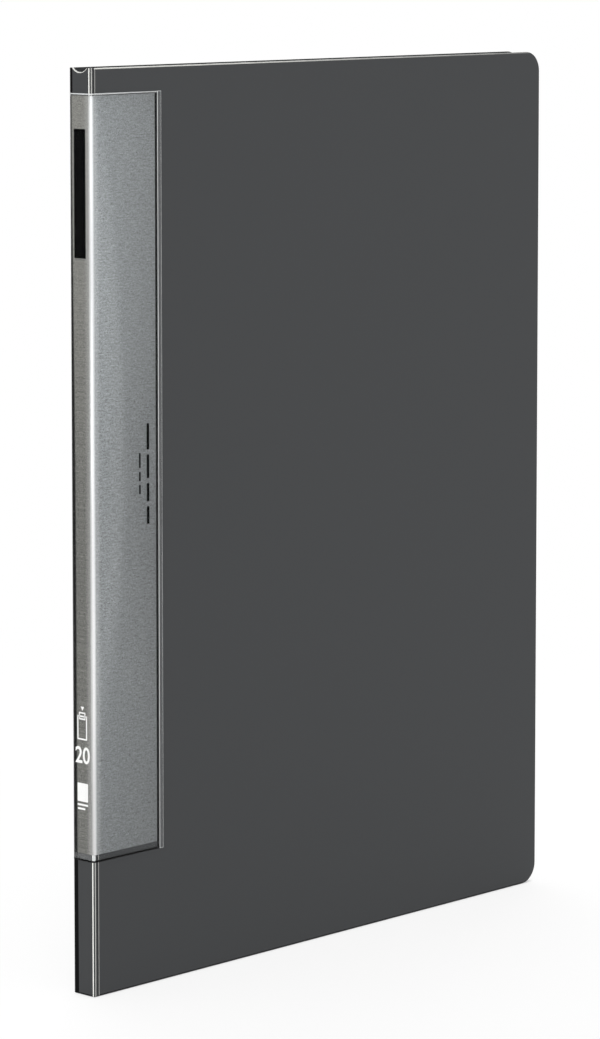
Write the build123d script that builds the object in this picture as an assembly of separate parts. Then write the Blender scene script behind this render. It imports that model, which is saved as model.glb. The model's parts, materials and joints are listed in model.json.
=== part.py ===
from build123d import *
import math
import os

os.makedirs("parts", exist_ok=True)

# Clear pocket display book standing closed. Spine at -X, front cover at -Y, heads up.

# Covers and spine: one folded sheet
COVER_HEIGHT = 437.0
COVER_WIDTH = 323.0
BOOK_DEPTH = 14.0
SHEET = 1.2
CORNER_RADIUS = 10.0
EDGE_ROUND = 0.25
CREASE_ROUND = 0.12
NOTCH_WIDTH = 9.0
NOTCH_DEPTH = 2.0

# Creases: each web is a round bead on the fold line, below the outer face
STRIP_WIDTH = 2.35
CREASE_DEPTH = 0.45
CREASE_BEAD = 0.22
CREASE_CLEARANCE = 0.06
FLANK_CLEARANCE = 3.0

# Title card and the clear sleeve that holds it
CARD = 0.25
CARD_PLAY = 0.1
FILM = 0.15
FOLD_ON_SPINE = 1.8
FOLD_ON_COVER = 3.8
CARD_BOTTOM = 67.9
CARD_TOP = 424.3
CARD_REACH = 41.6
SLEEVE_BOTTOM = 64.3
SLEEVE_TOP = 425.3
SLEEVE_REACH = 45.65
WELD_WIDTH = 2.45
WELD_ROUND = 0.2

# Pocket leaves and the comb that binds them
POCKETS = 20
POCKET_FILM = 0.08
SEAM = 0.08
POCKET_BOTTOM = 4.0
POCKET_TOP = 432.0
POCKET_MARGIN = 5.0
POCKET_CORNER = 3.0
ROOT_SEAM = 6.0
EDGE_SEAM = 3.0
MOUTH_DROP = 5.0
WAVE_HEIGHT = 2.5
WAVES = 4
GUTTER = 0.75
COMB_BASE = 0.8
RIB_SHORTEST = 1.2
RIB_STEP = 0.5
ROOT_CLEARANCE = 0.1

# Derived places, measured from the outer corner of spine and front cover
LABEL_STACK = CARD + CARD_PLAY + FILM
SPINE_X = -(COVER_WIDTH - LABEL_STACK) / 2
FRONT_Y = -BOOK_DEPTH / 2
INNER = SHEET - CREASE_DEPTH
LEAF = 2 * POCKET_FILM + SEAM
FIRST_LEAF = SHEET + GUTTER
LEAF_PITCH = (BOOK_DEPTH - 2 * FIRST_LEAF) / (POCKETS - 1)
COMB_FACE = SHEET + COMB_BASE
FORE_EDGE = COVER_WIDTH - POCKET_MARGIN
BEAD_SOCKET = CREASE_BEAD + CREASE_CLEARANCE
FOLD_RADIUS = CREASE_DEPTH


def at_corner(x, y, z=0.0):
    """A point given from the outer corner of spine and front cover."""
    return (SPINE_X + x, FRONT_Y + y, z)


def flank(run, degrees):
    """How far a crease flank travels sideways over a depth, at an angle from the sheet's face."""
    return run / math.tan(math.radians(degrees))


def prism(points, bottom, top):
    """A flat-sided profile given from the outer corner, drawn up between two heights."""
    with BuildPart() as body:
        with BuildSketch(Plane.XY.offset(bottom)):
            with BuildLine(Location(at_corner(0, 0, 0))):
                Polyline(*points, close=True)
            make_face()
        extrude(amount=top - bottom)
    return body.part


def rod(centre, radius, bottom, top):
    """An upright round bar on a fold line."""
    upright = (Align.CENTER, Align.CENTER, Align.MIN)
    return Pos(*at_corner(*centre, bottom)) * Cylinder(radius, top - bottom, align=upright)


def slab(x0, x1, y0, y1, z0, z1):
    """A flat block between limits given from the outer corner."""
    low = (Align.MIN, Align.MIN, Align.MIN)
    return Pos(*at_corner(x0, y0, z0)) * Box(x1 - x0, y1 - y0, z1 - z0, align=low)


def to_back(body):
    """The same piece on the back cover's side."""
    return mirror(body, about=Plane.XZ)


# Fold lines in plan: the corner of the spine, then the cover's own crease
CORNER_FOLD = (CREASE_DEPTH, CREASE_DEPTH)
COVER_FOLD = (STRIP_WIDTH, CREASE_DEPTH)
STEEP = 90 - FLANK_CLEARANCE
HALF = 45 - FLANK_CLEARANCE / 2


def make_hinge_strip():
    """Band between the two creases, with a round web along each fold line."""
    corner_x = CORNER_FOLD[0]
    cover_x = COVER_FOLD[0]
    profile = [
        CORNER_FOLD,
        (corner_x + flank(CREASE_DEPTH, STEEP), 0),
        (cover_x - flank(CREASE_DEPTH, HALF), 0),
        COVER_FOLD,
        (cover_x - flank(INNER, STEEP), SHEET),
        (corner_x + flank(INNER, HALF), SHEET),
    ]
    strip = prism(profile, 0, COVER_HEIGHT)
    for fold in (CORNER_FOLD, COVER_FOLD):
        strip += rod(fold, CREASE_BEAD, 0, COVER_HEIGHT)
    lips = strip.edges().filter_by(Axis.Z).group_by(Axis.Y)[0]
    return fillet(lips, CREASE_ROUND)


def make_cover():
    """Cover board: creased along the hinge, rounded at the fore-edge corners and along its rim."""
    fold_x = COVER_FOLD[0]
    profile = [
        COVER_FOLD,
        (fold_x + flank(CREASE_DEPTH, HALF), 0),
        (COVER_WIDTH, 0),
        (COVER_WIDTH, SHEET),
        (fold_x + flank(INNER, STEEP), SHEET),
    ]
    board = prism(profile, 0, COVER_HEIGHT) - rod(COVER_FOLD, BEAD_SOCKET, 0, COVER_HEIGHT)
    fore_corners = board.edges().filter_by(Axis.Y).group_by(Axis.X)[-1]
    board = fillet(fore_corners, CORNER_RADIUS)
    flats = board.faces().filter_by(Axis.Y).sort_by(Axis.Y)
    rim = flats[0].edges().sort_by(Axis.X)[1:] + flats[-1].edges().sort_by(Axis.X)[1:]
    board = fillet(rim, EDGE_ROUND)
    lip = board.edges().filter_by(Axis.Z).group_by(Axis.Y)[0].sort_by(Axis.X)[0]
    return fillet(lip, CREASE_ROUND)


def make_spine():
    """Spine board: both ends creased, thumb notch in the head."""
    fold_x, fold_y = CORNER_FOLD
    outer_end = fold_y + flank(CREASE_DEPTH, STEEP)
    inner_end = fold_y + flank(INNER, HALF)
    profile = [
        (0, outer_end),
        CORNER_FOLD,
        (SHEET, inner_end),
        (SHEET, BOOK_DEPTH - inner_end),
        (fold_x, BOOK_DEPTH - fold_y),
        (0, BOOK_DEPTH - outer_end),
    ]
    board = prism(profile, 0, COVER_HEIGHT)
    for fold in (CORNER_FOLD, (fold_x, BOOK_DEPTH - fold_y)):
        board -= rod(fold, BEAD_SOCKET, 0, COVER_HEIGHT)
    lips = board.edges().filter_by(Axis.Z).group_by(Axis.X)[0]
    board = fillet(lips, CREASE_ROUND)
    with BuildPart() as notch:
        with BuildSketch(Plane.YZ.offset(SPINE_X)):
            with BuildLine():
                ends = [(-NOTCH_WIDTH / 2, COVER_HEIGHT), (NOTCH_WIDTH / 2, COVER_HEIGHT)]
                ThreePointArc(ends[0], (0, COVER_HEIGHT - NOTCH_DEPTH), ends[1])
                Line(ends[1], ends[0])
            make_face()
        extrude(amount=SHEET)
    return board - notch.part


def make_fold(offset, thickness, bottom, top):
    """Sheet bent round the corner of the spine and carried over the hinge strip."""
    inside = [(-offset, FOLD_ON_SPINE), (-offset, -offset), (FOLD_ON_COVER, -offset)]
    far = offset + thickness
    outside = [(-far, FOLD_ON_SPINE), (-far, -far), (FOLD_ON_COVER, -far)]
    radius = FOLD_RADIUS + offset
    with BuildPart() as bend:
        with BuildSketch(Plane.XY.offset(bottom)):
            with BuildLine(Location(at_corner(0, 0, 0))):
                FilletPolyline(*inside, radius=radius)
                FilletPolyline(*outside, radius=radius + thickness)
                Line(inside[0], outside[0])
                Line(inside[-1], outside[-1])
            make_face()
        extrude(amount=top - bottom)
    return bend.part


def make_sleeve_side():
    """Clear film over the card on the cover, welded down along its free side and its foot."""
    face = -LABEL_STACK
    film = slab(FOLD_ON_COVER, SLEEVE_REACH, face, 0, SLEEVE_BOTTOM, SLEEVE_TOP)
    room = slab(
        FOLD_ON_COVER,
        SLEEVE_REACH - WELD_WIDTH,
        face + FILM,
        0,
        SLEEVE_BOTTOM + WELD_WIDTH,
        SLEEVE_TOP,
    )
    film -= room
    free_edge = film.faces().sort_by(Axis.X)[-1].edges().sort_by(Axis.Y)[0]
    return fillet(free_edge, WELD_ROUND)


def make_sleeve_spine():
    """Clear film over the card on the spine, welded down along its foot."""
    side = BOOK_DEPTH - FOLD_ON_SPINE
    film = slab(-LABEL_STACK, 0, FOLD_ON_SPINE, side, SLEEVE_BOTTOM, SLEEVE_TOP)
    weld_top = SLEEVE_BOTTOM + WELD_WIDTH
    return film - slab(FILM - LABEL_STACK, 0, FOLD_ON_SPINE, side, weld_top, SLEEVE_TOP)


def leaf_y(index):
    """Depth of a leaf's middle plane behind the front face."""
    return FIRST_LEAF + index * LEAF_PITCH


def rib_tip(index):
    """Where a leaf's root margin ends: longest at the middle opening, so turned leaves stack."""
    return COMB_FACE + RIB_SHORTEST + RIB_STEP * min(index, POCKETS - 1 - index)


def leaf_axis(index):
    """Plan position of the line a leaf turns about."""
    return (rib_tip(index) + ROOT_CLEARANCE + LEAF / 2, leaf_y(index))


def make_comb():
    """Binding comb: a base on the spine with one root rib for each leaf."""
    half_base = LEAF / 2 + LEAF_PITCH / 2
    comb = slab(SHEET, COMB_FACE, leaf_y(0) - half_base, leaf_y(POCKETS - 1) + half_base,
                POCKET_BOTTOM, POCKET_TOP)
    for index in range(POCKETS):
        middle = leaf_y(index)
        comb += slab(COMB_FACE, rib_tip(index), middle - LEAF / 2, middle + LEAF / 2,
                     POCKET_BOTTOM, POCKET_TOP)
    return comb


def make_front_film(start, face):
    """Front film of a pocket, its mouth cut to a smooth wave of equal arcs."""
    mouth = POCKET_TOP - MOUTH_DROP
    step = (FORE_EDGE - start) / WAVES
    with BuildPart() as film:
        with BuildSketch(Plane.XZ.offset(-FRONT_Y - face)):
            with BuildLine(Location((SPINE_X, 0, 0))):
                Polyline(
                    (start, mouth),
                    (start, POCKET_BOTTOM),
                    (FORE_EDGE, POCKET_BOTTOM),
                    (FORE_EDGE, mouth),
                )
                for wave in range(WAVES):
                    left = start + wave * step
                    crest = WAVE_HEIGHT if wave % 2 else -WAVE_HEIGHT
                    ThreePointArc((left, mouth), (left + step / 2, mouth + crest), (left + step, mouth))
            make_face()
        extrude(amount=-POCKET_FILM)
    return film.part


def make_pocket(index):
    """Pocket leaf: welded root with a round bead on its turning line, two films, two seams."""
    axis_x, axis_y = leaf_axis(index)
    front = axis_y - LEAF / 2
    back = axis_y + LEAF / 2
    film_x = axis_x + ROOT_SEAM
    gap_front = front + POCKET_FILM
    gap_back = gap_front + SEAM
    seam_top = POCKET_TOP - MOUTH_DROP - WAVE_HEIGHT
    root = slab(axis_x, film_x, front, back, POCKET_BOTTOM, POCKET_TOP)
    root += rod((axis_x, axis_y), LEAF / 2, POCKET_BOTTOM, POCKET_TOP)
    rear = slab(film_x, FORE_EDGE, gap_back, back, POCKET_BOTTOM, POCKET_TOP)
    outer_corner = rear.edges().filter_by(Axis.Y).group_by(Axis.X)[-1].sort_by(Axis.Z)[-1]
    rear = fillet(outer_corner, POCKET_CORNER)
    foot = slab(film_x, FORE_EDGE, gap_front, gap_back, POCKET_BOTTOM, POCKET_BOTTOM + EDGE_SEAM)
    fore = slab(FORE_EDGE - EDGE_SEAM, FORE_EDGE, gap_front, gap_back, POCKET_BOTTOM + EDGE_SEAM, seam_top)
    return [root, make_front_film(film_x, front), rear, foot, fore]


SPINE_FAR = BOOK_DEPTH - FOLD_ON_SPINE
front_card = slab(FOLD_ON_COVER, CARD_REACH, -CARD, 0, CARD_BOTTOM, CARD_TOP)
front_sleeve = make_sleeve_side()
front_card_fold = make_fold(0, CARD, CARD_BOTTOM, CARD_TOP)
front_sleeve_fold = make_fold(CARD + CARD_PLAY, FILM, SLEEVE_BOTTOM, SLEEVE_TOP)
front_cover = make_cover()
front_strip = make_hinge_strip()

nodes = {
    "front_cover": front_cover,
    "front_hinge_strip": front_strip,
    "spine_panel": make_spine(),
    "back_hinge_strip": to_back(front_strip),
    "back_cover": to_back(front_cover),
    "title_card_front": front_card,
    "title_card_front_fold": front_card_fold,
    "title_card_spine": slab(-CARD, 0, FOLD_ON_SPINE, SPINE_FAR, CARD_BOTTOM, CARD_TOP),
    "title_card_back_fold": to_back(front_card_fold),
    "title_card_back": to_back(front_card),
    "label_sleeve_front": front_sleeve,
    "label_sleeve_front_fold": front_sleeve_fold,
    "label_sleeve_spine": make_sleeve_spine(),
    "label_sleeve_back_fold": to_back(front_sleeve_fold),
    "label_sleeve_back": to_back(front_sleeve),
    "binding_comb": make_comb(),
}
for index in range(POCKETS):
    nodes[f"pocket_{index + 1:02d}"] = Compound(children=make_pocket(index))

for name, body in nodes.items():
    body.label = name
    export_step(body, f"parts/{name}.step")
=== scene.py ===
"""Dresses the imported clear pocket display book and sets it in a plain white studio."""
import json
import logging
import math
from dataclasses import dataclass
from enum import Enum
from typing import Any, Callable, Iterable, Optional, Sequence, Union

import bmesh
import bpy
from mathutils import Matrix, Vector


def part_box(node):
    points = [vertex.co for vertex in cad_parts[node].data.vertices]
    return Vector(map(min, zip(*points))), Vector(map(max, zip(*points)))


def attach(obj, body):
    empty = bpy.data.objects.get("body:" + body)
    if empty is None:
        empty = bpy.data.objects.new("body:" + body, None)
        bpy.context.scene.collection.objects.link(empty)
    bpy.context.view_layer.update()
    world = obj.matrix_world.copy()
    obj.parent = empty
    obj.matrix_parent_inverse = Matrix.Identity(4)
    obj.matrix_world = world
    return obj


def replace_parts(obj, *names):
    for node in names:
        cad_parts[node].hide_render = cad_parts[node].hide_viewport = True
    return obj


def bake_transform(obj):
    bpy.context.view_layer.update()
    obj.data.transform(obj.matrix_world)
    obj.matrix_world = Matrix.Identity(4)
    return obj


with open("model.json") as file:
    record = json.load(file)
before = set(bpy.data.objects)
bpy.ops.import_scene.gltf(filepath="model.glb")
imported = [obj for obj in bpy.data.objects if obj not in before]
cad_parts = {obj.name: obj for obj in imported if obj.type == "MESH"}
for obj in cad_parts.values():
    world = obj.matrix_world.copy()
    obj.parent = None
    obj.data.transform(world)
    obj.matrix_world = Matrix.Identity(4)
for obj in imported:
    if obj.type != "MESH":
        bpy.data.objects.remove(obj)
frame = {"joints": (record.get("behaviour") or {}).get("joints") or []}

log = logging.getLogger("display_book")

MM = 0.001
NEAR = 1e-6
UP = (0, 0, 1)
Triple = tuple[float, float, float]
Operand = Union["Tone", int, float]
Place = Sequence[float]
Key = Union[int, str]
Rows = Optional[dict[Key, Any]]
Socket = bpy.types.NodeSocket
Material = bpy.types.Material
Piece = bpy.types.Object
Vert = bmesh.types.BMVert
Edge = bmesh.types.BMEdge
Face = bmesh.types.BMFace


class Side(Enum):
    """The two halves of the book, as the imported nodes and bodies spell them."""

    FRONT = "front"
    BACK = "back"


class Space(Enum):
    """What a finish lies on: a stiff piece's own frame, or the map of a piece that bends."""

    STIFF = "Object"
    BENDING = "UV"


@dataclass(frozen=True)
class Tone:
    """One value in a shader, joined to others by ordinary arithmetic."""

    paint: "Paint"
    socket: Socket

    def _join(self, operation: str, first: Operand, second: Operand) -> "Tone":
        """The result of one Math node."""
        return self.paint.tone("ShaderNodeMath", {"operation": operation}, {0: first, 1: second})

    def __add__(self, other: Operand) -> "Tone":
        """Sum."""
        return self._join("ADD", self, other)

    def __sub__(self, other: Operand) -> "Tone":
        """Difference."""
        return self._join("SUBTRACT", self, other)

    def __rsub__(self, other: Operand) -> "Tone":
        """Difference, reflected."""
        return self._join("SUBTRACT", other, self)

    def __mul__(self, other: Operand) -> "Tone":
        """Product."""
        return self._join("MULTIPLY", self, other)

    __radd__, __rmul__ = __add__, __mul__

    def __or__(self, other: Operand) -> "Tone":
        """The larger of two masks."""
        return self._join("MAXIMUM", self, other)

    def __neg__(self) -> "Tone":
        """Other sign."""
        return 0.0 - self

    def above(self, low: float, high: float) -> "Tone":
        """A soft step, from 0 at the low value to 1 at the high one."""
        rows = {"Value": self, "From Min": low, "From Max": high}
        return self.paint.tone("ShaderNodeMapRange", {"interpolation_type": "SMOOTHSTEP"}, rows)


class Paint:
    """A node tree under construction."""

    def __init__(self, owner: Union[Material, bpy.types.World]) -> None:
        """Empties a node tree.

        Args:
            owner: The material or world that it belongs to.
        """
        owner.use_nodes = True
        self.owner = owner
        self.tree = owner.node_tree
        self.tree.nodes.clear()

    @classmethod
    def material(cls, name: str) -> "Paint":
        """Starts a material."""
        return cls(bpy.data.materials.new(name))

    def node(self, kind: str, settings: Rows = None, sockets: Rows = None) -> bpy.types.Node:
        """Adds any node.

        Args:
            kind: The node's type.
            settings: Its properties, set first.
            sockets: Values or links by the socket's name or number; a plain colour has three numbers.

        Returns:
            The node.
        """
        made = self.tree.nodes.new(kind)
        for key, value in (settings or {}).items():
            setattr(made, key, value)
        for key, value in (sockets or {}).items():
            socket = made.inputs[key]
            source = value.socket if isinstance(value, Tone) else value
            if isinstance(source, Socket):
                self.tree.links.new(source, socket)
            else:
                socket.default_value = (*source, 1.0) if socket.type == "RGBA" else source
        return made

    def tone(self, kind: str, settings: Rows = None, sockets: Rows = None, output: Key = 0) -> Tone:
        """Adds a node and takes one of its outputs, by name or number, as a value."""
        return Tone(self, self.node(kind, settings, sockets).outputs[output])

    def place(self, space: Space) -> Socket:
        """The coordinates that a finish lies on, in metres."""
        return self.node("ShaderNodeTexCoord").outputs[space.value]

    def axes(self, place: Socket) -> tuple[Tone, Tone]:
        """The first two coordinates of a place."""
        parts = self.node("ShaderNodeSeparateXYZ", None, {0: place})
        return Tone(self, parts.outputs[0]), Tone(self, parts.outputs[1])

    def stretched(self, place: Socket, scale: Triple) -> Socket:
        """The same coordinates with each axis drawn out or in."""
        return self.node("ShaderNodeMapping", None, {"Vector": place, "Scale": scale}).outputs[0]

    def grain(self, place: Socket, size: float, detail: float = 2.0) -> Tone:
        """Even noise from 0 to 1: grains of a size in metres, with octaves of finer detail."""
        rows = {"Vector": place, "Scale": 1.0 / size, "Detail": detail}
        return self.tone("ShaderNodeTexNoise", None, rows, "Fac")

    def pale(self) -> Tone:
        """The tone that a mesh gives its faces, from -1, dark, to 1."""
        return self.tone("ShaderNodeAttribute", {"attribute_name": "pale"}, None, "Fac")

    def edge_on(self, blend: float) -> Tone:
        """A mask of surfaces seen at a glancing angle."""
        facing = self.tone("ShaderNodeLayerWeight", None, {"Blend": blend}, "Facing")
        return facing * facing

    def seen(self) -> Tone:
        """A mask of the rays that show the white background.

        Returns:
            The mask.
        """
        path = self.node("ShaderNodeLightPath").outputs
        kinds = ("Camera", "Glossy", "Transmission")
        camera, glossy, through = (Tone(self, path[f"Is {kind} Ray"]) for kind in kinds)
        return camera | glossy | through

    def mix(self, share: Operand, first: Any, second: Any) -> Socket:
        """Mixes two colours or colour sockets by the share of the second."""
        return self.node("ShaderNodeMix", {"data_type": "RGBA"}, {0: share, 6: first, 7: second}).outputs[2]

    def scaled(self, colour: Any, shade: Tone) -> Socket:
        """A colour made lighter or darker."""
        rows = {0: colour, "Scale": shade}
        return self.node("ShaderNodeVectorMath", {"operation": "SCALE"}, rows).outputs[0]

    def bump(self, height: Tone, depth: float, strength: float) -> Socket:
        """The normal of a surface with heights from 0 to 1 that stand for a depth in metres."""
        rows = {"Strength": strength, "Distance": depth, "Height": height}
        return self.node("ShaderNodeBump", None, rows).outputs[0]

    def coat(self, **sockets: Any) -> Material:
        """Closes a material with the main shader; a socket's spaces are written as underscores."""
        rows = {key.replace("_", " "): value for key, value in sockets.items()}
        return self.close(self.node("ShaderNodeBsdfPrincipled", None, rows))

    def close(self, shader: bpy.types.Node, output: str = "ShaderNodeOutputMaterial") -> Any:
        """Joins the last shader to the tree's output and gives the tree's owner."""
        self.node(output, None, {"Surface": shader.outputs[0]})
        return self.owner


@dataclass(frozen=True)
class MattSheet:
    """Dark grey plastic sheet: fine matt stipple and faint flow marks; faces marked dark get painted shade,
    and pale faces a light colour that is partly the pale cut edge and partly a painted highlight.
    """

    space: Space
    colour: Triple = (0.0405, 0.0422, 0.0440)
    # light colour of pale faces: partly the pale cut edge, partly a painted highlight
    cut_and_highlight_colour: Triple = (0.85, 0.85, 0.81)
    stipple: float = 0.35 * MM
    stipple_depth: float = 0.012 * MM
    flow: float = 45 * MM

    def make(self) -> Material:
        """Builds the material.

        Returns:
            The material.
        """
        paint = Paint.material(f"matt_sheet_{self.space.name.lower()}")
        place = paint.place(self.space)
        fine = paint.grain(place, self.stipple, 3.0)
        cloud = paint.grain(place, self.flow)
        pale = paint.pale()
        # negative tones are painted shade: darker and more metallic for a deeper shade
        dark = -pale | 0.0
        shade = (0.94 + fine * 0.07 + cloud * 0.05) * (1.0 - dark)
        return paint.coat(
            Base_Color=paint.mix(pale, paint.scaled(self.colour, shade), self.cut_and_highlight_colour),
            Metallic=dark * 0.9,
            Roughness=0.50 + fine * 0.10 + cloud * 0.06,
            Specular_IOR_Level=0.18,
            Normal=paint.bump(fine, self.stipple_depth, 0.5),
        )


@dataclass(frozen=True)
class SilverCard:
    """Silver-grey coated card: sandy metallic grain with fine level hairlines, warmer on the spine.

    The fold towards the front carries a painted highlight with a soft painted glow, the one towards the back
    a painted shade that is slimmer at the head; the card is also painted lighter towards its top, a little
    darker at mid-height and darker away from the corner on the flap.
    """

    side: Side
    spine_half: float
    height: float
    flap_colour: Triple = (0.228, 0.245, 0.252)
    spine_colour: Triple = (0.124, 0.124, 0.113)
    # painted highlight along the front fold, whiter towards the foot
    front_fold_highlight: Triple = (0.74, 0.75, 0.76)
    front_fold_highlight_foot: Triple = (0.95, 0.95, 0.95)
    # painted shade along the back fold
    back_fold_shade: Triple = (0.01, 0.01, 0.01)
    back_shade_slim: float = 1.4 * MM
    sand: float = 1.3 * MM
    sand_depth: float = 0.012 * MM
    cloud: float = 35 * MM
    metal: float = 0.35
    gloss: float = 0.35

    def past(self, along: Tone, first: float, second: float) -> Tone:
        """A soft step between two places along the card, in millimetres from the spine's corner."""
        return along.above(self.spine_half + first * MM, self.spine_half + second * MM)

    def make(self) -> Material:
        """Builds the material.

        Returns:
            The material.
        """
        paint = Paint.material(f"silver_card_{self.side.value}")
        place = paint.place(Space.BENDING)
        along, up = paint.axes(place)
        sand = paint.grain(place, self.sand) - 0.5
        fine = paint.grain(place, 0.45 * self.sand) - 0.5
        hair = paint.grain(paint.stretched(place, (0.14, 1.0, 1.0)), 0.5 * self.sand) - 0.5
        cloud = paint.grain(place, self.cloud) - 0.5
        on_flap = self.past(along, 0, 1.5)
        # painted light: the card lighter towards its top, less so on the flap, and darker away from the
        # corner on the flap
        lift = up.above(0.18, self.height) * (0.45 - on_flap * 0.25) - along.above(8 * MM, 50 * MM) * 0.10
        # painted shade across the middle of the card's height
        painted_mid_shade = up.above(0.13, 0.22) * (1.0 - up.above(0.25, 0.34)) * 0.09
        rough = sand * 1.1 + fine * 1.8 + hair
        specks = fine.above(0.13, 0.20) * 0.16 - (-fine).above(0.13, 0.20) * 0.20
        shade = 0.96 + rough + specks * 1.2 + cloud * 0.10 + lift - painted_mid_shade
        tint = paint.mix(on_flap, self.spine_colour, self.flap_colour)
        fade = 1.0 - self.past(along, 0.3, 2.8)
        metal, gloss = self.metal, self.gloss
        if self.side is Side.FRONT:
            # painted highlight along the front fold, with a soft painted glow beside it
            gleam = self.past(along, -5, -1) * 0.18 * (1.0 - self.past(along, 2.5, 5.5))
            fold = self.past(along, -2.2, 0.5) * fade | gleam
            painted_fold_colour = paint.mix(up.above(0.06, 0.30), self.front_fold_highlight_foot, self.front_fold_highlight)
        else:
            # painted shade along the back fold, slimmer towards the head, darkened further by more metal and
            # less coat
            fold = self.past(along - up.above(0.20, self.height) * self.back_shade_slim, -3.8, -2.6) * fade
            painted_fold_colour = self.back_fold_shade
            metal, gloss = metal + fold * 0.60, gloss - fold * gloss
        return paint.coat(
            Base_Color=paint.mix(fold, paint.scaled(tint, shade), painted_fold_colour),
            Metallic=metal,
            Roughness=0.36 + rough * 0.12,
            Coat_Weight=gloss,
            Coat_Roughness=0.20,
            Normal=paint.bump(rough, self.sand_depth, 0.5),
        )


@dataclass(frozen=True)
class ClearFilm:
    """Clear plastic film: faintly milky, glossier at a glancing look, with slow ripples."""

    name: str
    veil: float
    glance: float = 0.20
    colour: Triple = (0.80, 0.82, 0.82)
    roughness: float = 0.16
    ripple: float = 22 * MM
    ripple_depth: float = 0.08 * MM
    scuff: float = 1.2 * MM

    def make(self) -> Material:
        """Builds the material.

        Returns:
            The material.
        """
        paint = Paint.material(self.name)
        place = paint.place(Space.BENDING)
        ripple = paint.grain(place, self.ripple, 1.0)
        scuff = paint.grain(paint.stretched(place, (1.0, 0.12, 1.0)), self.scuff)
        return paint.coat(
            Base_Color=self.colour,
            Roughness=self.roughness + scuff * 0.12,
            IOR=1.49,
            Alpha=self.veil * (0.75 + scuff * 0.5) + paint.edge_on(0.2) * self.glance + paint.pale(),
            Normal=paint.bump(ripple, self.ripple_depth, 0.3),
        )


@dataclass(frozen=True)
class PocketFilm:
    """Two clear pocket films: milky at the welds, which carry a fine knurl, and clear between."""

    root: float
    fore: float
    foot: float
    weld: float
    root_weld: float
    colour: Triple = (0.70, 0.74, 0.76)
    veil: float = 0.027
    weld_veil: float = 0.52
    glance: float = 0.10
    knurl: float = 0.9 * MM
    knurl_depth: float = 0.03 * MM
    scuff: float = 1.5 * MM
    soft: float = 0.3 * MM

    def make(self) -> Material:
        """Builds the material.

        Returns:
            The material.
        """
        paint = Paint.material("pocket_film")
        place = paint.place(Space.BENDING)
        across, up = paint.axes(place)
        fore, root, foot = self.fore - self.weld, self.root + self.root_weld, self.foot + self.weld
        at_root = 1.0 - across.above(root, root + self.soft)
        at_foot = 1.0 - up.above(foot, foot + self.soft)
        weld = across.above(fore - self.soft, fore) | at_root | at_foot
        rows = {"Vector": place, "Scale": 0.31 / self.knurl, "Distortion": 0.0}
        lines = paint.tone("ShaderNodeTexWave", {"bands_direction": "DIAGONAL"}, rows, "Fac")
        scuff = paint.grain(paint.stretched(place, (0.15, 1.0, 1.0)), self.scuff, 1.0)
        clear = self.veil * (0.7 + scuff * 0.6) + paint.pale()
        milky = weld * (0.6 + lines * 0.4) * self.weld_veil
        return paint.coat(
            Base_Color=self.colour,
            Roughness=0.14 + scuff * 0.10 + weld * 0.18,
            IOR=1.49,
            Alpha=clear + milky + paint.edge_on(0.15) * self.glance,
            Normal=paint.bump(weld * lines, self.knurl_depth, 0.4),
        )


@dataclass(frozen=True)
class Ink:
    """Screen ink on the card: flat, with a slightly uneven lay-down."""

    name: str
    colour: Triple
    shine: float = 0.1
    grain: float = 0.5 * MM
    depth: float = 0.006 * MM

    def make(self) -> Material:
        """Builds the material.

        Returns:
            The material.
        """
        paint = Paint.material(self.name)
        lay = paint.grain(paint.place(Space.STIFF), self.grain)
        return paint.coat(
            Base_Color=paint.scaled(self.colour, 0.92 + lay * 0.16),
            Roughness=0.45 + lay * 0.2,
            Specular_IOR_Level=self.shine,
            Normal=paint.bump(lay, self.depth, 0.4),
        )


def linked(name: str, data: bpy.types.ID) -> Piece:
    """A new object in the scene.

    Args:
        name: Its name.
        data: Its mesh, light, camera or curve.

    Returns:
        The object.
    """
    made = bpy.data.objects.new(name, data)
    bpy.context.scene.collection.objects.link(made)
    return made


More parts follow.
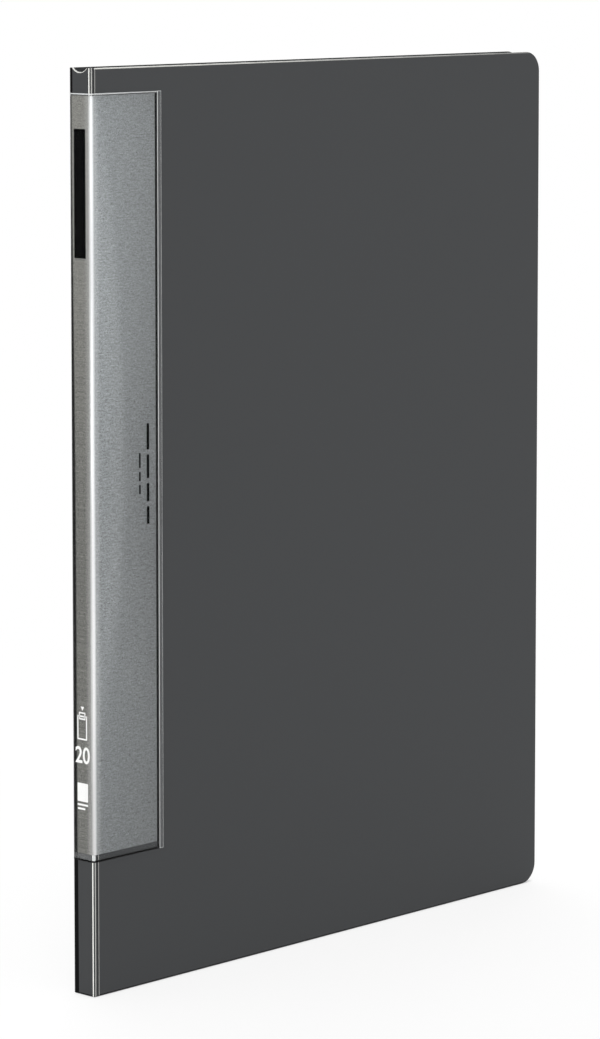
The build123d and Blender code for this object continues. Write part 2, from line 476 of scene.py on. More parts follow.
class Shape:
    """One mesh under construction; a piece of the back half is built as one of the front half."""

    def __init__(self) -> None:
        """Starts empty, with a face layer of tones: pale cuts, painted highlights, painted shade and milkier
        film.
        """
        self.bm = bmesh.new()
        self.pale = self.bm.faces.layers.float.new("pale")

    def block(self, low: Place, high: Place) -> list[Vert]:
        """Adds a block.

        Args:
            low: Its lowest corner.
            high: Its highest corner.

        Returns:
            Its vertices.
        """
        size = [b - a for a, b in zip(low, high)]
        middle = [(a + b) / 2 for a, b in zip(low, high)]
        matrix = Matrix.Translation(middle) @ Matrix.Diagonal((*size, 1.0))
        return bmesh.ops.create_cube(self.bm, size=1.0, matrix=matrix)["verts"]

    def edges(self, test: Callable[[Vector, Vector], bool]) -> list[Edge]:
        """Edges picked by their two end points."""
        return [e for e in self.bm.edges if test(e.verts[0].co, e.verts[1].co)]

    def round(self, edges: list[Edge], radius: float, segments: int, pale: float = 0.0) -> None:
        """Rounds edges.

        Args:
            edges: The edges.
            radius: How far the round reaches.
            segments: Facets across the round.
            pale: How pale the facets are, from -1, dark, to 1.
        """
        made = bmesh.ops.bevel(self.bm, geom=edges, offset=radius, offset_type="OFFSET", segments=segments,
                               profile=0.5, affect="EDGES", clamp_overlap=True, material=-1)
        for face in made["faces"]:
            face.smooth = True
            face[self.pale] = pale

    def roll(self, along: int, edge: float, inward: int, face: float, radius: float, pale: float,
             groove_shade: float = -0.9, steps: int = 5) -> None:
        """Rolls a board's lip back from an outer face into a quarter round.

        Args:
            along: The axis across the lip, 0 for X or 1 for Y; the other goes into the board.
            edge: Where the lip ends.
            inward: The direction from the lip to the board, 1 or -1.
            face: The outer face.
            radius: The round's radius.
            pale: How pale the lip is, from -1, dark, to 1.
            groove_shade: How pale its steep part is, dark by default: a painted shade in the crease.
            steps: Facets across the round.
        """
        into = 1 - along
        normal = [float(axis == along) for axis in range(3)]
        for step in range(1, steps + 1):
            reach = edge + inward * radius * (1 - math.cos(step * math.pi / (2 * steps)))
            self.cut([reach * n for n in normal], normal)
        for vert in self.bm.verts:
            gone = radius - (vert.co[along] - edge) * inward
            if vert.co[into] < face + NEAR and 0 < gone < radius + NEAR:
                vert.co[into] += radius - math.sqrt(max(0.0, radius ** 2 - gone ** 2))
        self.bm.normal_update()
        for part in self.bm.faces:
            lip = (part.calc_center_median()[along] - edge) * inward < radius
            if lip and part.normal[into] < -0.05 and abs(part.normal.z) < 0.5:
                # the lip's steep part gets a painted shade
                part[self.pale] = pale if part.normal[into] < -0.5 else groove_shade
                part.smooth = True

    def cut(self, point: Place, normal: Place) -> None:
        """Cuts every face along a plane without removing anything."""
        geom = self.bm.verts[:] + self.bm.edges[:] + self.bm.faces[:]
        bmesh.ops.bisect_plane(self.bm, geom=geom, plane_co=point, plane_no=normal, dist=1e-9)

    def slices(self, first: Place, last: Place, steps: int) -> None:
        """Cuts every face along evenly spaced planes.

        Args:
            first: A point on the first plane.
            last: The point straight across on the last one.
            steps: How many spaces lie between them.
        """
        normal = (Vector(last) - Vector(first)).normalized()
        for step in range(steps + 1):
            self.cut([a + (b - a) * step / steps for a, b in zip(first, last)], normal)

    def tint(self, pale: float, test: Callable[[Face, Vector], bool]) -> None:
        """Sets the tone of some faces.

        Args:
            pale: How pale they are, from -1, dark, to 1.
            test: Picks a face by itself and its middle.
        """
        for face in self.bm.faces:
            if test(face, face.calc_center_median()):
                face[self.pale] = pale

    def draw_out(self, faces: list[Face], vec: Place) -> list[Face]:
        """Draws faces out.

        Args:
            faces: The faces.
            vec: How far.

        Returns:
            The faces at their new place.
        """
        made = bmesh.ops.extrude_face_region(self.bm, geom=faces)["geom"]
        verts = [part for part in made if isinstance(part, Vert)]
        bmesh.ops.translate(self.bm, vec=vec, verts=verts)
        return [part for part in made if isinstance(part, Face)]

    def put(self, name: str, finish: Material) -> Piece:
        """Makes the mesh an object in the scene.

        Args:
            name: Its name.
            finish: Its material.

        Returns:
            The object.
        """
        mesh = bpy.data.meshes.new(name)
        self.bm.to_mesh(mesh)
        self.bm.free()
        mesh.materials.append(finish)
        return linked(name, mesh)

    def piece(self, name: str, finish: Material, slot: str, side: Side = Side.FRONT,
              chart: Optional[Callable[[Vector], tuple[float, float]]] = None) -> Piece:
        """Closes the mesh and makes it a piece of the book.

        Args:
            name: The piece's name.
            finish: Its material.
            slot: The record's material slot; not used.
            side: The half it goes to; the mesh is mirrored for the back.
            chart: Gives a point's place on the map in metres, for pieces that bend.

        Returns:
            The piece.
        """
        if side is Side.BACK:
            bmesh.ops.scale(self.bm, vec=(1, -1, 1), verts=self.bm.verts[:])
        bmesh.ops.remove_doubles(self.bm, verts=self.bm.verts[:], dist=1e-8)
        bmesh.ops.recalc_face_normals(self.bm, faces=self.bm.faces[:])
        if chart is not None:
            layer = self.bm.loops.layers.uv.new("map")
            for face in self.bm.faces:
                for loop in face.loops:
                    loop[layer].uv = chart(loop.vert.co)
        made = self.put(name, finish)
        log.info("%s: %d faces", name, len(made.data.polygons))
        return made


@dataclass
class Layout:
    """Places that the pieces share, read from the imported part.

    They are in metres, but for the cover crease, in millimetres from the spine's outer face.
    """

    foot: float
    head: float
    fore: float
    spine_x: float
    front_y: float
    sheet: float
    crease_x: float

    @classmethod
    def read(cls) -> "Layout":
        """Reads the covers' boxes and the cover crease.

        Returns:
            The places.
        """
        low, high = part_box("front_cover")
        spine_low, spine_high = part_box("spine_panel")
        fold = next(j for j in frame["joints"] if j["name"] == "front_cover_fold")
        sheet, crease = spine_high.x - spine_low.x, Vector(fold["pos_m"]).x - spine_low.x
        return cls(low.z, high.z, high.x, spine_low.x, low.y, sheet, crease / MM)

    def plan(self, x: float, y: float, z: float = 0.0) -> Vector:
        """A point given in millimetres from the outer corner of spine and front cover."""
        return Vector((self.spine_x + x * MM, self.front_y + y * MM, z))

    @property
    def depth(self) -> float:
        """The book's thickness in millimetres."""
        return -2 * self.front_y / MM

    def wrap_chart(self, point: Vector) -> tuple[float, float]:
        """Map of a sheet that runs from the middle of the spine round a corner and over a cover."""
        return min(abs(point.y), -self.front_y) + max(0.0, point.x - self.spine_x), point.z


@dataclass
class CoverSheet:
    """The creased plastic sheet: two covers, two hinge strips and the spine.

    Sizes are in millimetres; a tone says how pale an edge is, from -1, dark, to 1; dark tones are painted
    shade, and pale ones painted highlights, in part also the pale cut.
    """

    layout: Layout
    corner: float = 10.0
    rim: float = 0.45
    # painted shade on the rounded rims
    rim_shade: float = -0.8
    cut_band: float = 0.6
    # head band: partly the pale cut edge, partly a painted highlight that fades towards the fore edge
    cut_highlight_tone: float = 0.66
    cut_highlight_fade: float = 0.51
    cut_steps: int = 9
    foot_band: float = 0.7
    # painted shade along the boards' foot
    foot_shade: float = -0.7
    lip: float = 0.42
    # painted highlights on the crease lips; the strip's head is partly its pale cut, partly a painted
    # highlight
    lip_highlight: float = 0.24
    corner_lip: float = 0.7
    spine_lip_highlight: float = 0.95
    strip_lip_highlight: float = 0.46
    strip_round: float = 0.3
    strip_head_highlight: float = 0.44
    strip_start: float = 0.47
    # painted shade along the spine's rear edge, wider at the foot, and on its rear lip
    rear_shade_foot: float = 3.0
    rear_shade_head: float = 1.7
    rear_shade: float = -0.95
    bead: float = 0.3
    bead_place: float = 0.95
    groove: float = 0.45
    web_depth: float = 0.5
    web: float = 0.22
    web_hold: float = 0.25
    web_inset: float = 0.05
    turn: float = 0.4
    turn_steps: int = 8
    notch_width: float = 9.0
    notch_depth: float = 2.0
    notch_steps: int = 12
    notch_round: float = 0.4
    notch_highlight: float = 0.72

    def build(self) -> list[Piece]:
        """Builds and dresses the sheet.

        Returns:
            The pieces.
        """
        stiff = MattSheet(Space.STIFF).make()
        bending = MattSheet(Space.BENDING).make()
        pieces = [self.spine(stiff)]
        for side in Side:
            pieces += [self.cover(side, stiff), self.hinge(side, bending)]
        return pieces

    def cover(self, side: Side, finish: Material) -> Piece:
        """One cover board, with round fore corners, a round rim and a rolled crease lip; painted shade on the
        rim and at the foot, a painted highlight on the lip, and a pale head band that is partly a painted
        highlight.

        Args:
            side: The half of the book.
            finish: Its material.

        Returns:
            The piece.
        """
        book = self.layout
        shape = Shape()
        low = book.plan(book.crease_x + self.groove, 0, book.foot)
        high = Vector((book.fore, low.y + book.sheet, book.head))
        shape.block(low, high)
        shape.round(shape.edges(lambda a, b: abs(a.y - b.y) > MM / 2 and a.x > 0), self.corner * MM, 12)
        rims = shape.edges(lambda a, b: abs(a.y - b.y) < NEAR and max(a.x, b.x) > low.x + NEAR)
        # painted shade on the rounded rims
        shape.round(rims, self.rim * MM, 3, self.rim_shade)
        # painted highlight on the crease lip
        shape.roll(0, low.x, 1, low.y, self.lip * MM, self.lip_highlight)
        band = book.head - self.cut_band * MM
        shape.cut((0, 0, band), UP)
        self.paint_foot_shade(shape)
        reach = high.x - low.x
        width = reach / self.cut_steps
        shape.slices((low.x + width, 0, 0), (high.x - width, 0, 0), self.cut_steps - 2)
        # head band: partly the pale cut edge, partly a painted highlight that fades towards the fore edge
        for face in shape.bm.faces:
            middle = face.calc_center_median()
            if middle.z > band and middle.y < low.y + book.sheet / 2:
                face[shape.pale] = self.cut_highlight_tone - self.cut_highlight_fade * (middle.x - low.x) / reach
        made = shape.piece(f"cover_{side.value}", finish, "cover_sheet", side)
        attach(made, f"{side.value}_cover")
        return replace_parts(made, f"{side.value}_cover")

    def paint_foot_shade(self, shape: Shape) -> None:
        """Paints a narrow shade along a board's foot.

        Args:
            shape: The board's mesh.
        """
        top = self.layout.foot + self.foot_band * MM
        shape.cut((0, 0, top), UP)
        shape.tint(self.foot_shade, lambda face, middle: middle.z < top and face[shape.pale] == 0)

    def hinge(self, side: Side, finish: Material) -> Piece:
        """The strip between the two creases, with the thin webs that bend.

        Args:
            side: The half of the book.
            finish: Its material.

        Returns:
            The piece.
        """
        book = self.layout
        shape = Shape()
        low = book.plan(self.strip_start, 0, book.foot)
        high = book.plan(book.crease_x - self.groove, book.sheet / MM, book.head)
        for vert in shape.block(low, high):
            if vert.co.y > low.y + MM / 2 and vert.co.x < low.x + NEAR:
                vert.co.x = book.spine_x + book.sheet
        # painted highlight on the strip's lip by the spine
        shape.roll(0, low.x, 1, low.y, self.corner_lip * MM, self.strip_lip_highlight)
        shape.roll(0, high.x, -1, low.y, self.strip_round * MM, 0.0)
        # strip's head: partly its pale cut, partly a painted highlight
        shape.tint(self.strip_head_highlight, lambda face, middle: middle.z > book.head - NEAR)
        middle = book.plan(self.bead_place, self.bead_place, (book.foot + book.head) / 2)
        radius = self.bead * MM
        bmesh.ops.create_cone(shape.bm, cap_ends=True, segments=12, radius1=radius, radius2=radius,
                              depth=book.head - book.foot, matrix=Matrix.Translation(middle))
        reach, inset = self.groove + self.web_hold, self.web_inset * MM
        shape.block(book.plan(book.crease_x - reach, self.web_depth, book.foot + inset),
                    book.plan(book.crease_x + reach, self.web_depth + self.web, book.head - inset))
        start = book.plan(book.crease_x - self.turn, 0)
        stop = book.plan(book.crease_x + self.turn, 0)
        shape.slices(start, stop, self.turn_steps)
        made = shape.piece(f"hinge_{side.value}", finish, "cover_sheet", side, lambda p: (p.x + p.y, p.z))
        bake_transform(made)
        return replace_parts(made, f"{side.value}_hinge_strip")

    def spine(self, finish: Material) -> Piece:
        """The spine board, with rolled crease lips and a thumb notch in its head; a painted highlight on the
        front lip, a pale notch rim that is partly a painted highlight, and painted shade on the rear lip,
        along the rear edge and at the foot.

        Args:
            finish: Its material.

        Returns:
            The piece.
        """
        book = self.layout
        shape = Shape()
        low = book.plan(0, self.strip_start, book.foot)
        high = book.plan(book.sheet / MM, book.depth - self.strip_start, book.head)
        for vert in shape.block(low, high):
            if vert.co.x > low.x + MM / 2:
                vert.co.y = math.copysign(-book.front_y - book.sheet, vert.co.y)
        half, deep = self.notch_width * MM / 2, self.notch_depth * MM
        shape.slices((0, -half, 0), (0, half, 0), self.notch_steps)
        radius = (half ** 2 + deep ** 2) / (2 * deep)
        for vert in shape.bm.verts:
            if vert.co.z > book.head - NEAR and abs(vert.co.y) < half:
                vert.co.z += radius - deep - math.sqrt(radius ** 2 - vert.co.y ** 2)
        rims = shape.edges(lambda a, b: min(a.z, b.z) > book.head - 1.5 * deep
                           and max(a.x, b.x) < low.x + NEAR and max(abs(a.y), abs(b.y)) < half + NEAR
                           and abs(a.y - b.y) > NEAR)
        # notch rim: partly its pale cut, partly a painted highlight
        shape.round(rims, self.notch_round * MM, 3, self.notch_highlight)
        # painted highlight on the spine's front lip
        shape.roll(1, low.y, 1, low.x, self.corner_lip * MM, self.spine_lip_highlight)
        # painted shade on the spine's rear lip
        shape.roll(1, high.y, -1, low.x, self.corner_lip * MM, self.rear_shade)
        # painted shade band along the rear edge, wider at the foot than at the head
        taper = (self.rear_shade_foot - self.rear_shade_head) * MM / (book.head - book.foot)
        start = Vector((0, high.y - self.rear_shade_foot * MM, book.foot))
        across = Vector((0, 1, -taper))
        shape.cut(start, across)
        shape.tint(self.rear_shade, lambda face, middle: (middle - start).dot(across) > 0
                   and face.normal.x < -0.9)
        self.paint_foot_shade(shape)
        made = shape.piece("spine_board", finish, "cover_sheet")
        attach(made, "spine")
        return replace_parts(made, "spine_panel")


@dataclass
class TitleLabel:
    """The silver title card and its clear sleeve, wrapped round the spine onto both covers.

    Sizes are in millimetres; a veil says how milky a part of the film is, from 0 to 1, and a range
    is the share of the spine's bend that a veil covers.
    """

    layout: Layout
    bend: float = 1.6
    corner_steps: int = 10
    turn: float = 1.3
    turn_steps: int = 16
    card: float = 0.25
    film: float = 0.15
    film_lift: float = 0.35
    rim: float = 0.6
    rim_veil: float = 0.45
    foot_line: float = 0.9
    foot_gap: float = 0.02
    hem_spine: float = 0.05
    spine_range: tuple[float, float] = (-1.0, 0.01)
    # painted highlight on the sleeve's hem along the front fold
    hem_fold_highlight: float = 0.5
    hem_highlight_range: tuple[float, float] = (0.12, 0.75)
    weld: float = 2.45
    weld_lift: float = 0.62
    weld_inset: float = 0.75
    weld_hollow: float = 0.25
    weld_round: float = 0.22
    # painted highlight on the bar's rounded rims, made milkier
    weld_rim_highlight: float = 0.55
    line_start: float = 0.25
    line_width: float = 1.3
    line_height: float = 0.08
    line_round: float = 0.05

    def build(self) -> list[Piece]:
        """Builds and dresses the label.

        Returns:
            The pieces.
        """
        low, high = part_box("title_card_front")
        sleeve_low, sleeve_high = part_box("label_sleeve_front")
        reach = sleeve_high.x - self.weld * MM
        film = ClearFilm("sleeve_film", veil=0.0015, glance=0.04).make()
        weld = ClearFilm("sleeve_weld", veil=0.07, glance=0.25, roughness=0.28).make()
        # near-black ink for painted shadow: a strip at the sleeve's foot and a line beside its closed side
        shadow_ink = Ink("shadow_line_ink", (0.006, 0.006, 0.006), 0.02).make()
        pieces = []
        for side in Side:
            word = side.value
            card = SilverCard(side, -self.layout.front_y, high.z).make()
            made = self.wrap(f"card_{word}", side, 0.0, self.card, low.z, high.z, high.x, card, "title_card")
            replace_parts(made, f"title_card_{word}", f"title_card_{word}_fold", "title_card_spine")
            pieces.append(made)
            made = self.wrap(f"sleeve_{word}", side, self.film_lift, self.film, sleeve_low.z, sleeve_high.z,
                             reach, film, "sleeve_film", self.rim_veil)
            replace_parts(made, f"label_sleeve_{word}", f"label_sleeve_{word}_fold", "label_sleeve_spine")
            # near-black strip at the sleeve's foot: painted shadow
            foot = self.wrap(f"sleeve_foot_shadow_{word}", side, self.foot_gap, self.film_lift - 2 * self.foot_gap,
                             sleeve_low.z, sleeve_low.z + self.foot_line * MM, reach, shadow_ink, "sleeve_film")
            pieces += [made, foot, *self.seal(side, high.x, sleeve_low, sleeve_high, shadow_ink, weld)]
        return pieces

    def wrap(self, name: str, side: Side, lift: float, thickness: float, bottom: float, top: float,
             reach: float, finish: Material, slot: str, rim: float = 0.0) -> Piece:
        """A sheet from the middle of the spine round one corner and over the cover.

        Args:
            name: The piece's name.
            side: The half of the book.
            lift: How far its inner face stands off the cover sheet, in millimetres.
            thickness: In millimetres.
            bottom: Lowest height in metres.
            top: Highest height in metres.
            reach: Where it ends on the cover, in metres.
            finish: Its material.
            slot: The record's material slot.
            rim: How milky its cut head is; the hem below the card goes with it.

        Returns:
            The piece.
        """
        book = self.layout
        shape = Shape()
        bm = shape.bm
        start = book.plan(-lift, book.depth / 2, bottom)
        edge = bm.edges.new((bm.verts.new(start), bm.verts.new((start.x, start.y, top))))

        def carry(edge: Edge, vec: Place) -> Edge:
            """Draws an edge out.

            Args:
                edge: The edge.
                vec: How far.

            Returns:
                The new edge.
            """
            made = bmesh.ops.extrude_edge_only(bm, edges=[edge])["geom"]
            bmesh.ops.translate(bm, vec=vec, verts=[g for g in made if isinstance(g, Vert)])
            return next(g for g in made if isinstance(g, Edge) and len(g.link_faces) == 1
                        and abs(g.verts[0].co.z - g.verts[1].co.z) > NEAR)

        edge = carry(edge, (0, book.front_y + self.bend * MM, 0))
        spun = bmesh.ops.spin(bm, geom=[edge, *edge.verts], cent=book.plan(self.bend, self.bend), axis=UP,
                              angle=math.pi / 2, steps=self.corner_steps, use_duplicate=False)["geom_last"]
        for face in bm.faces:
            face.smooth = len(face.verts) == 4 and abs(face.calc_center_median().x - start.x) > NEAR
        edge = next(g for g in spun if isinstance(g, Edge))
        carry(edge, (reach - edge.verts[0].co.x, 0, 0))
        first = book.plan(book.crease_x - self.turn, 0)
        last = book.plan(book.crease_x + self.turn, 0)
        shape.slices(first, last, self.turn_steps)
        if rim:
            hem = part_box("title_card_front")[0].z
            line, band = bottom + self.foot_line * MM, top - self.rim * MM
            for height in (band, hem, line):
                shape.cut((0, 0, height), UP)

            def in_hem(middle: Vector, least: float, most: float) -> bool:
                """Whether a place lies between foot line and card, in a range of the bend."""
                return line < middle.z < hem and least < (middle.x - start.x) / (self.bend * MM) < most

            shape.tint(rim, lambda face, middle: middle.z > band)
            shape.tint(self.hem_spine, lambda face, middle: in_hem(middle, *self.spine_range))
            # front only: a painted highlight on the hem along the fold
            if side is Side.FRONT:
                shape.tint(self.hem_fold_highlight, lambda face, middle: in_hem(middle, *self.hem_highlight_range))
        bmesh.ops.recalc_face_normals(bm, faces=bm.faces[:])
        outer = bm.faces[:]
        if sum(f.normal.y for f in outer if abs(f.normal.y) > 0.9) > 0:
            bmesh.ops.reverse_faces(bm, faces=outer)
        bmesh.ops.solidify(bm, geom=outer, thickness=-thickness * MM)
        made = shape.piece(name, finish, slot, side, book.wrap_chart)
        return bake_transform(made)

    def seal(self, side: Side, start: float, low: Vector, high: Vector, shadow_ink: Material,
             film: Material) -> list[Piece]:
        """The sleeve's closed side: a near-black line standing for the shadow beside the bar, a painted
        shadow, and a raised, rounded bar with a shallow hollow.

        Args:
            side: The half of the book.
            start: Where the card ends.
            low: The front sleeve's lowest corner.
            high: Its highest corner.
            shadow_ink: The line's material, a near-black ink for the painted shadow.
            film: The bar's material.

        Returns:
            The line and the bar.
        """
        line, bar, face = Shape(), Shape(), self.layout.front_y
        left, height = start + self.line_start * MM, self.line_height * MM
        # painted shadow: a near-black line between the card and the bar
        line.block((left, face - height, low.z + self.foot_line * MM),
                   (left + self.line_width * MM, face, high.z - MM))
        line.round(line.edges(lambda a, b: max(a.y, b.y) < face - height / 2), self.line_round * MM, 2)
        outer = face - self.weld_lift * MM
        bar.block((high.x - self.weld * MM, outer, low.z), (high.x, face, high.z))
        top = [f for f in bar.bm.faces if f.calc_center_median().y < outer + NEAR]
        bmesh.ops.inset_region(bar.bm, faces=top, thickness=self.weld_inset * MM, use_even_offset=True)
        bmesh.ops.translate(bar.bm, vec=(0, self.weld_hollow * MM, 0), verts=top[0].verts)
        rims = bar.edges(lambda a, b: max(a.y, b.y) < outer + NEAR)
        # painted highlight: the bar's rounded rims made milkier
        bar.round(rims, self.weld_round * MM, 4, self.weld_rim_highlight)
        dark = line.piece(f"sleeve_shadow_line_{side.value}", shadow_ink, "sleeve_film", side)
        clear = bar.piece(f"sleeve_weld_{side.value}", film, "sleeve_film", side, self.layout.wrap_chart)
        return [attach(made, f"{side.value}_cover") for made in (dark, clear)]


@dataclass(frozen=True)
class Mark:
    """Where a print lies, in millimetres; a line's width makes it a frame.

    Left and right are counted from the spine's middle, or on the front flap from the spine's outer face.
    """

    name: str
    left: float
    right: float
    bottom: float
    top: float
    line: float = 0.0
    on_flap: bool = False


@dataclass
class LabelPrint:
    """Plain print on the card: a bare black plate, a page sign, the count of pockets and blank rules.

    A row of rules gives its left, its right and the two ends of each rule.
    """

    layout: Layout
    card: float = 0.25
    lay: float = 0.03
    patch_round: float = 0.3
    rule_round: float = 0.35
    plate: Mark = Mark("plate", -3.8, 3.8, 348.7, 408.8)
    count: str = "20"
    count_place: Mark = Mark("count", -4.8, 4.8, 110.8, 118.8)
    count_weight: float = 0.015
    page_sign: tuple[Mark, ...] = (
        Mark("page", -3.1, 3.5, 122.0, 133.6, 0.75),
        Mark("tag", -2.0, 2.4, 131.6, 135.2, 0.7),
    )
    arrow_size: float = 1.3
    arrow_height: float = 137.2
    foot_sign: tuple[Mark, ...] = (
        Mark("square", -3.5, 3.5, 92.6, 101.4),
        Mark("bar_long", -3.5, 3.5, 90.6, 91.5),
        Mark("bar_short", -1.6, 3.4, 88.7, 89.6),
    )
    rules: tuple[tuple[float, float, tuple[float, ...]], ...] = (
        (35.6, 37.2, (221.2, 229.6, 232.0, 240.6, 243.0, 254.2, 256.6, 269.0)),
        (30.5, 31.5, (235.8, 240.2, 242.0, 246.4, 248.2, 255.4)),
    )

    def build(self) -> list[Piece]:
        """Builds and dresses the print.

        Returns:
            The pieces.
        """
        black = Ink("black_ink", (0.0012, 0.0012, 0.0012), 0.0).make()
        white = Ink("white_ink", (0.82, 0.82, 0.81)).make()
        pieces = [self.field(self.plate, black), self.numerals(white)]
        pieces += [self.field(mark, white) for mark in self.page_sign]
        pieces.append(self.arrow(white))
        pieces += [self.field(mark, white) for mark in self.foot_sign]
        for row, (left, right, ends) in enumerate(self.rules, 1):
            for place, (bottom, top) in enumerate(zip(ends[::2], ends[1::2]), 1):
                mark = Mark(f"rule_{row}_{place}", left, right, bottom, top, on_flap=True)
                pieces.append(self.field(mark, black))
        return pieces

    def _spine_face(self) -> float:
        """The X of the card's outer face on the spine."""
        return self.layout.spine_x - self.card * MM

    def field(self, mark: Mark, ink: Material) -> Piece:
        """A flat print with round corners.

        Args:
            mark: Its name and place.
            ink: Its material.

        Returns:
            The piece.
        """
        book = self.layout
        inner, outer, middle = -self.card, -self.card - self.lay, book.depth / 2
        if mark.on_flap:
            low, high = book.plan(mark.left, outer), book.plan(mark.right, inner)
        else:
            low, high = book.plan(outer, middle + mark.left), book.plan(inner, middle + mark.right)
        low.z, high.z = mark.bottom * MM, mark.top * MM
        shape = Shape()
        shape.block(low, high)
        thin, radius = (1, self.rule_round) if mark.on_flap else (0, self.patch_round)
        shape.round(shape.edges(lambda a, b: abs(a[thin] - b[thin]) > NEAR), radius * MM, 4)
        if mark.line:
            fields = [f for f in shape.bm.faces if abs(f.normal[thin]) > 0.9]
            bmesh.ops.inset_individual(shape.bm, faces=fields, thickness=mark.line * MM, use_even_offset=True)
            bmesh.ops.bridge_loops(shape.bm, edges=[e for f in fields for e in f.edges])
            bmesh.ops.delete(shape.bm, geom=fields, context="FACES")
        made = shape.piece(f"print_{mark.name}", ink, "title_card")
        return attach(made, "front_cover") if mark.on_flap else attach(made, "spine")

    def arrow(self, ink: Material) -> Piece:
        """A small arrowhead that points down into the page sign.

        Args:
            ink: Its material.

        Returns:
            The piece.
        """
        shape = Shape()
        place = Matrix.Translation((self._spine_face(), 0, self.arrow_height * MM))
        turn = Matrix.Rotation(-math.pi / 2, 4, "X") @ Matrix.Rotation(math.pi / 2, 4, "Y")
        bmesh.ops.create_circle(shape.bm, cap_ends=True, segments=3, radius=self.arrow_size * MM,
                                matrix=place @ turn)
        shape.draw_out(shape.bm.faces[:], (-self.lay * MM, 0, 0))
        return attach(shape.piece("print_arrow", ink, "title_card"), "spine")

    def numerals(self, ink: Material) -> Piece:
        """The plain count of pockets, upright on the spine.

        Args:
            ink: Its material.

        Returns:
            The piece.
        """
        curve = bpy.data.curves.new("count", "FONT")
        curve.body = self.count
        curve.extrude = 0.5
        curve.resolution_u = 6
        curve.offset = self.count_weight
        source = linked("count", curve)
        bpy.context.view_layer.update()
        mesh = bpy.data.meshes.new_from_object(source)
        bpy.data.objects.remove(source)
        shape = Shape()
        shape.bm.from_mesh(mesh)
        bpy.data.meshes.remove(mesh)
        verts = shape.bm.verts[:]
        low, high = (Vector([pick(v.co[axis] for v in verts) for axis in range(3)]) for pick in (min, max))
        mark = self.count_place
        want = ((mark.right - mark.left) * MM, (mark.top - mark.bottom) * MM, self.lay * MM)
        size = Matrix.Diagonal([w / s for w, s in zip(want, high - low)]).to_4x4()
        upright = Matrix(((0, 0, -1), (-1, 0, 0), (0, 1, 0))).to_4x4()
        middle = (self._spine_face() - self.lay * MM / 2, 0, (mark.bottom + mark.top) * MM / 2)
        matrix = Matrix.Translation(middle) @ upright @ size @ Matrix.Translation(-(low + high) / 2)
        bmesh.ops.transform(shape.bm, matrix=matrix, verts=verts)
        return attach(shape.piece("print_count", ink, "title_card"), "spine")


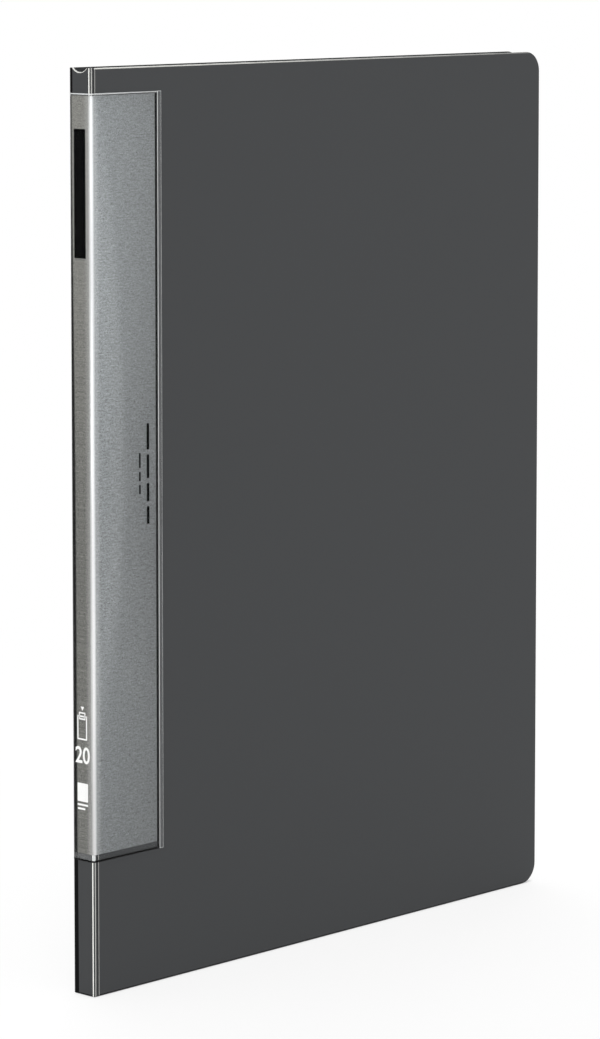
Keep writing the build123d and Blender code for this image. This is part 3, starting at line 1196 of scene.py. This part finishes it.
@dataclass
class PocketBlock:
    """The twenty pocket leaves and the welded comb that binds them to the spine.

    Sizes are in millimetres; a veil says how milky a part of the film is, from 0 to 1.
    """

    film: float = 0.08
    gap: float = 0.07
    weld: float = 3.0
    root_weld: float = 6.0
    mouth_drop: float = 5.0
    mouth_line: float = 0.6
    mouth_veil: float = 0.35
    wave: float = 2.5
    waves: int = 4
    columns: int = 48
    bend_before: float = 1.0
    bend_after: float = 3.0
    bend_steps: int = 8
    cut_veil: float = 0.4
    comb_gap: float = 0.02
    comb_depth: float = 0.8
    comb_round: float = 0.2

    def build(self) -> list[Piece]:
        """Builds and dresses the block.

        Returns:
            The pieces.
        """
        turns = [j for j in frame["joints"] if j["child"].startswith("pocket_")]
        turns.sort(key=lambda j: j["child"])
        low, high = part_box(turns[0]["child"])
        root = Vector(turns[0]["pos_m"]).x
        finish = PocketFilm(root, high.x, low.z, self.weld * MM, self.root_weld * MM).make()
        return [self.comb(), *(self.leaf(turn, finish) for turn in turns)]

    def comb(self) -> Piece:
        """The welded back of the block: a thin milky plate on the inside of the spine.

        Returns:
            The piece.
        """
        low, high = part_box("binding_comb")
        finish = ClearFilm("binding_film", veil=0.40, colour=(0.72, 0.74, 0.75), roughness=0.35).make()
        shape = Shape()
        inner = low.x + self.comb_depth * MM
        shape.block((low.x + self.comb_gap * MM, low.y, low.z), (inner, high.y, high.z))
        shape.round(shape.edges(lambda a, b: min(a.x, b.x) > inner - NEAR), self.comb_round * MM, 3)
        made = shape.piece("binding_comb_base", finish, "binding_film", chart=lambda p: (p.y, p.z))
        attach(made, "spine")
        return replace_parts(made, "binding_comb")

    def leaf(self, turn: dict[str, Any], finish: Material) -> Piece:
        """One pocket: a flat pouch of two films, the front one wave-cut at its mouth.

        Args:
            turn: The leaf's joint.
            finish: The film's material.

        Returns:
            The piece.
        """
        node = turn["child"]
        low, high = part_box(node)
        axis = Vector(turn["pos_m"])
        root = axis.x + self.root_weld * MM

        def mouth(x: float) -> float:
            """How high the front film is cut at one place, in waves from the root weld on.

            Args:
                x: The place.

            Returns:
                The height.
            """
            share = max(0.0, (x - root) / (high.x - root) * self.waves)
            part = share - math.floor(share)
            rise = 4 * part * (1 - part) * self.wave * MM
            return high.z - self.mouth_drop * MM + (rise if math.floor(share) % 2 else -rise)

        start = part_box("binding_comb")[0].x + (self.comb_depth + self.comb_gap) * MM
        middle = (low.z + high.z) / 2
        shape = Shape()
        back = axis.y + (self.gap / 2 + self.film) * MM
        place = Matrix.Translation(((start + high.x) / 2, back, middle))
        size = Matrix.Diagonal((high.x - start, 1, high.z - low.z, 1))
        grid = bmesh.ops.create_grid(shape.bm, x_segments=self.columns, y_segments=3, size=0.5,
                                     matrix=place @ size @ Matrix.Rotation(math.pi / 2, 4, "X"))["verts"]
        for vert in grid:
            if low.z + MM < vert.co.z < high.z - MM:
                vert.co.z = mouth(vert.co.x) - (self.mouth_line * MM if vert.co.z < middle else 0.0)
        front = shape.draw_out(shape.bm.faces[:], (0, -self.film * MM, 0))
        pouch = [f for f in front if (spot := f.calc_center_median()).z < mouth(spot.x)]
        for face in shape.draw_out(pouch, (0, -(self.gap + self.film) * MM, 0)):
            if face.calc_center_median().z > high.z - 3 * self.mouth_drop * MM:
                face[shape.pale] = self.mouth_veil
        bmesh.ops.delete(shape.bm, geom=pouch, context="FACES")
        first, last = (axis + Vector((bend * MM, 0, 0)) for bend in (-self.bend_before, self.bend_after))
        shape.slices(first, last, self.bend_steps)
        shape.bm.normal_update()
        shape.tint(self.cut_veil, lambda face, spot: abs(face.normal.y) < 0.5)
        made = shape.piece(f"leaf_{node[-2:]}", finish, "pocket_film", chart=lambda p: (p.x, p.z))
        made.visible_shadow = False
        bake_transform(made)
        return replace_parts(made, node)


@dataclass(frozen=True)
class Sun:
    """A far soft light: where its light goes, its strength and how wide it looks, in degrees."""

    name: str
    direction: Triple
    strength: float
    spread: float

    def make(self) -> None:
        """Sets the light up."""
        lamp = bpy.data.lights.new(self.name, "SUN")
        lamp.energy = self.strength
        lamp.angle = math.radians(self.spread)
        linked(self.name, lamp).rotation_euler = Vector(self.direction).to_track_quat("-Z", "Y").to_euler()


@dataclass
class Studio:
    """Plain white room: floor, soft lights and the camera, in metres and degrees."""

    stand: tuple[float, float]
    eye: Triple = (-1.4726, -1.3675, 0.5062)
    yaw: float = 46.88
    pitch: float = 5.505
    lens: float = 141.793
    sensor: float = 36.0
    shift_y: float = -0.2
    film_layers: int = 128
    ambient: float = 0.42
    floor_radius: float = 3.0
    floor_drop: float = 0.3 * MM
    floor_colour: Triple = (0.93, 0.93, 0.93)
    shadow_share: float = 0.2
    shadow_fade: tuple[float, float] = (0.25, 0.9)
    suns: tuple[Sun, ...] = (
        Sun("key_light", (0.70, 0.69, -0.16), 2.4, 40),
        Sun("top_light", (0.0, 0.05, -1.0), 1.3, 50),
        Sun("back_light", (-0.55, -0.70, -0.45), 1.5, 60),
    )

    def build(self) -> None:
        """Builds the floor, the lights, the world and the camera."""
        scene = bpy.context.scene
        scene.view_settings.view_transform = "Standard"
        scene.cycles.transparent_max_bounces = self.film_layers
        self.floor()
        scene.world = self.world()
        for sun in self.suns:
            sun.make()
        scene.camera = self.camera()

    def floor(self) -> None:
        """A pale round floor, in full shadow under the closed book and going to white further off."""
        paint = Paint.material("studio_floor")
        place = paint.place(Space.STIFF)
        far = paint.tone("ShaderNodeVectorMath", {"operation": "LENGTH"}, {0: place}, "Value")
        plain = paint.node("ShaderNodeBsdfDiffuse", None, {"Color": self.floor_colour})
        white = paint.node("ShaderNodeEmission", None, {"Color": (1, 1, 1), "Strength": 1.0})
        along, across = (axis | -axis for axis in paint.axes(place))
        long, deep = self.stand
        clear = along.above(long - 2 * MM, long) | across.above(deep - MM, deep)
        share = (1.0 - self.shadow_share * (1.0 - far.above(*self.shadow_fade))) * clear * paint.seen()
        rows = {0: share, 1: plain.outputs[0], 2: white.outputs[0]}
        finish = paint.close(paint.node("ShaderNodeMixShader", None, rows))
        shape = Shape()
        bmesh.ops.create_circle(shape.bm, cap_ends=True, segments=96, radius=self.floor_radius,
                                matrix=Matrix.Translation((0, 0, -self.floor_drop)))
        made = shape.put("floor", finish)

    def world(self) -> bpy.types.World:
        """White to the eye and in reflections, an even lower level as light on the book.

        Returns:
            The world.
        """
        paint = Paint(bpy.data.worlds.new("studio"))
        strength = self.ambient + paint.seen() * (1.0 - self.ambient)
        sky = paint.node("ShaderNodeBackground", None, {"Color": (1, 1, 1), "Strength": strength})
        return paint.close(sky, "ShaderNodeOutputWorld")

    def camera(self) -> bpy.types.Object:
        """The camera at the photograph's viewing angle.

        Returns:
            The camera.
        """
        lens = bpy.data.cameras.new("camera")
        lens.lens = self.lens
        lens.sensor_width = self.sensor
        lens.shift_y = self.shift_y
        made = linked("camera", lens)
        yaw, pitch = math.radians(self.yaw), math.radians(self.pitch)
        ahead = Vector((math.sin(yaw) * math.cos(pitch), math.cos(yaw) * math.cos(pitch), -math.sin(pitch)))
        made.location = self.eye
        made.rotation_euler = ahead.to_track_quat("-Z", "Y").to_euler()
        return made


def main() -> None:
    """Builds the book, piece by piece, and the studio round it."""
    logging.basicConfig(level=logging.INFO, format="%(message)s")
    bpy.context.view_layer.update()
    layout = Layout.read()
    pieces: list[Piece] = []
    for part in (CoverSheet(layout), TitleLabel(layout), LabelPrint(layout), PocketBlock()):
        pieces += part.build()
    Studio((layout.fore, -layout.front_y)).build()
    log.info("%d pieces", len(pieces))


if __name__ == "__main__":
    main()
